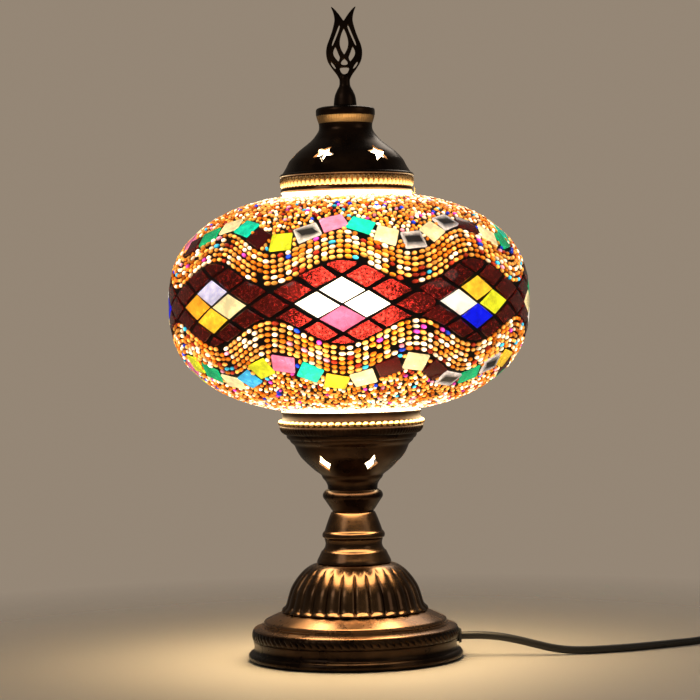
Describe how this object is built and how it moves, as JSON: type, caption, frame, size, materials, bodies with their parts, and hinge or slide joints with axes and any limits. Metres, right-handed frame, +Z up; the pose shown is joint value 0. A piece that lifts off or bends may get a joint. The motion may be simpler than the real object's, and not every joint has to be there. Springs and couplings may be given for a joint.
{
  "type": "mosaic glass table lamp",
  "caption": "Table lamp with a squashed glass mosaic globe on a turned metal stem and round base, a pierced cap with a tulip finial, and a mains cord with a rocker switch.",
  "frame": {"origin": "middle of the felt pad's underside, on the lamp's axis", "axes": "+Z up the lamp's axis, -Y the front, +X the side where the cord leaves"},
  "size_m": [0.5148, 0.25, 0.4515],
  "materials": {
    "aged_copper": "brushed, dark patina",
    "aged_bronze": "polished, dark antique patina",
    "black_iron": "satin black with worn brown edges",
    "ballast_iron": "rough",
    "steel": "zinc plated",
    "brass": "bright",
    "felt": "felt",
    "black_rubber": "matt",
    "black_flex": "satin PVC sheath",
    "black_moulding": "satin",
    "white_moulding": "satin",
    "porcelain": "glazed",
    "brown_core": "satin",
    "blue_core": "satin",
    "opal": "opal, lit",
    "frosted_glass": "frosted inside",
    "ruby_glass": "cut glass tiles in black grout",
    "amber_beads": "rows of glass beads in black grout",
    "mixed_glass": "cut tiles and loose beads in black grout"
  },
  "bodies": {
    "root": {"base_plate": "aged_copper", "felt_pad": "felt", "base_weight": "ballast_iron", "base_washer": "steel", "base_nut": "steel", "cord_grommet": "black_rubber", "threaded_rod": "steel", "fluted_dome": "aged_bronze", "neck_flare": "aged_bronze", "cone_collar": "aged_bronze", "knop": "aged_bronze", "gallery_bowl": "aged_bronze", "gallery_washer": "steel", "gallery_nut": "steel", "holder_base": "white_moulding", "holder_shell": "white_moulding", "terminal_block": "porcelain", "screw_shell": "brass", "centre_contact": "brass", "terminal_screw_1": "steel", "terminal_screw_2": "steel", "inner_cord": "black_flex", "live_core": "brown_core", "neutral_core": "blue_core", "cord_run": "black_flex", "cord_link": "black_flex", "cord_coil": "black_flex", "cord_tail": "black_flex", "switch_base": "black_moulding", "switch_cover": "black_moulding", "switch_contact": "brass", "switch_screw_1": "steel", "switch_screw_2": "steel", "plug_body": "black_moulding", "plug_pin_1": "steel", "plug_pin_2": "steel"},
    "rocker": {"switch_rocker": "black_moulding"},
    "bulb_lead": {"bulb_tip": "brass"},
    "bulb": {"bulb_insulator": "black_moulding", "bulb_cap": "steel", "bulb_housing": "white_moulding", "bulb_led_board": "white_moulding", "bulb_dome": "opal"},
    "globe": {"globe_glass": "frosted_glass", "diamond_tiles": "ruby_glass", "upper_bead_strings": "amber_beads", "lower_bead_strings": "amber_beads", "upper_tiles_and_beads": "mixed_glass", "lower_tiles_and_beads": "mixed_glass"},
    "cap": {"cap_shell": "aged_bronze", "finial_washer": "steel", "finial_nut": "steel", "cap_clip_1": "brass", "cap_clip_2": "brass"},
    "stud": {"finial_stud": "steel"},
    "finial": {"finial": "black_iron"}
  },
  "joints": [
    {"name": "rocker_tilt", "type": "hinge", "parent": "root", "child": "rocker", "pos_m": [0.304, 0.044, 0.0122], "axis": [0, -1, 0], "range_deg": [0, 16]},
    {"name": "bulb_lift", "type": "slide", "parent": "root", "child": "bulb_lead", "axis": [0, 0, 1], "range_m": [0, 0.0127]},
    {"name": "bulb_spin", "type": "hinge", "parent": "bulb_lead", "child": "bulb", "pos_m": [0, 0, 0.18], "axis": [0, 0, 1], "range_deg": [0, 1260]},
    {"name": "globe_lift", "type": "slide", "parent": "root", "child": "globe", "axis": [0, 0, 1], "range_m": [0, 0.13]},
    {"name": "cap_lift", "type": "slide", "parent": "globe", "child": "cap", "axis": [0, 0, 1], "range_m": [0, 0.05]},
    {"name": "finial_lift", "type": "slide", "parent": "cap", "child": "stud", "axis": [0, 0, 1], "range_m": [0, 0.009]},
    {"name": "finial_spin", "type": "hinge", "parent": "stud", "child": "finial", "pos_m": [0, 0, 0.39], "axis": [0, 0, 1], "range_deg": [0, 3241]}
  ],
  "couplings": [
    {"joint": "bulb_spin", "follows": "bulb_lift", "rad_per_m": 1730.9},
    {"joint": "finial_spin", "follows": "finial_lift", "rad_per_m": 6283.2}
  ]
}
